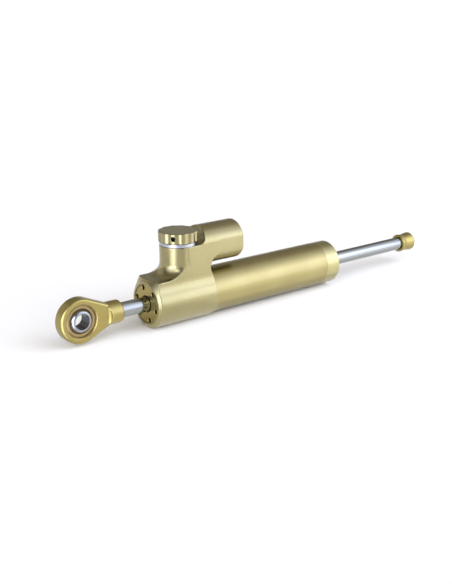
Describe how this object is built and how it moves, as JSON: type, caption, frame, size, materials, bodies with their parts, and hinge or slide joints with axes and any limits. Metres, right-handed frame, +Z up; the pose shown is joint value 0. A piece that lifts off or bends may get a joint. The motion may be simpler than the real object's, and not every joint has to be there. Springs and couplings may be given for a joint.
{
  "type": "motorcycle steering damper",
  "caption": "Linear steering damper: a through rod slides in a gold double tube, with a spherical bearing eye, a click adjuster knob on a tower and a piggyback reservoir.",
  "frame": {"origin": "centre of the bearing ball in the rod's eye, on the axis of the rod", "axes": "+X along the rod from the eye to the tail, +Y along the bolt through the eye, +Z up the adjuster's axis, away from the tube"},
  "size_m": [0.2571, 0.0264, 0.0501],
  "materials": {
    "gold_anodised": "satin anodised",
    "gold_matte": "matte anodised",
    "chrome_plate": "polished",
    "bearing_bronze": "turned",
    "silver_aluminium": "turned",
    "steel": "machined",
    "seal_rubber": "matte",
    "sliding_polymer": "matte"
  },
  "bodies": {
    "damper_body": {"head_block": "gold_anodised", "front_gland": "gold_anodised", "front_bush": "bearing_bronze", "front_rod_seal": "seal_rubber", "front_wiper": "seal_rubber", "gland_o_ring": "seal_rubber", "outer_tube": "gold_anodised", "tube_o_ring": "seal_rubber", "inner_cylinder": "steel", "cylinder_o_ring": "seal_rubber", "rear_end_cap": "gold_anodised", "rear_bush": "bearing_bronze", "rear_rod_seal": "seal_rubber", "rear_wiper": "seal_rubber", "cap_o_ring": "seal_rubber", "index_ring": "silver_aluminium", "adjuster_cartridge": "steel", "cartridge_o_ring": "seal_rubber", "needle_seat": "bearing_bronze", "spindle_circlip": "steel", "detent_spring": "steel", "reservoir_spring": "steel", "reservoir_plug": "gold_anodised", "plug_o_ring": "seal_rubber", "plug_circlip": "steel"},
    "rod_slider": {"piston_ring": "sliding_polymer"},
    "rod_assembly": {"piston_rod": "chrome_plate", "piston": "silver_aluminium", "piston_circlips": "steel", "rod_end_housing": "gold_matte", "bearing_race": "bearing_bronze", "rod_stopper": "gold_matte"},
    "bearing_swivel_ring": {"bearing_liner": "sliding_polymer"},
    "bearing_ball_body": {"bearing_ball": "chrome_plate"},
    "adjuster": {"adjuster_knob": "gold_anodised", "knob_set_screw": "steel", "adjuster_spindle": "steel", "spindle_o_ring": "seal_rubber"},
    "needle": {"adjuster_needle": "steel"},
    "detent": {"detent_ball": "steel"},
    "compensator": {"floating_piston": "silver_aluminium", "floating_o_ring": "seal_rubber"}
  },
  "joints": [
    {"name": "rod_slide", "type": "slide", "parent": "damper_body", "child": "rod_slider", "axis": [1, 0, 0], "range_m": [-0.0645, 0.0159]},
    {"name": "rod_turn", "type": "hinge", "parent": "rod_slider", "child": "rod_assembly", "pos_m": [0, 0, 0], "axis": [1, 0, 0], "continuous": true},
    {"name": "bearing_swivel", "type": "hinge", "parent": "rod_assembly", "child": "bearing_swivel_ring", "pos_m": [0, 0, 0], "axis": [0, 1, 0], "continuous": true},
    {"name": "ball_tilt", "type": "hinge", "parent": "bearing_swivel_ring", "child": "bearing_ball_body", "pos_m": [0, 0, 0], "axis": [0, 0, 1], "range_deg": [-12, 12]},
    {"name": "knob_turn", "type": "hinge", "parent": "damper_body", "child": "adjuster", "pos_m": [0.0613, 0, 0.0309], "axis": [0, 0, 1], "range_deg": [-165, 165]},
    {"name": "needle_lift", "type": "slide", "parent": "damper_body", "child": "needle", "axis": [0, 0, 1], "range_m": [-0.00046, 0.00046]},
    {"name": "detent_click", "type": "slide", "parent": "damper_body", "child": "detent", "axis": [0, 0, 1], "range_m": [0, 0.0003], "stiffness_N_per_m": 400, "springref_m": 0.0003, "deforming": ["detent_spring"]},
    {"name": "compensator_slide", "type": "slide", "parent": "damper_body", "child": "compensator", "axis": [1, 0, 0], "range_m": [-0.0025, 0.003], "stiffness_N_per_m": 2500, "deforming": ["reservoir_spring"]}
  ],
  "couplings": [
    {"joint": "needle_lift", "follows": "knob_turn", "m_per_rad": 0.00015915}
  ]
}
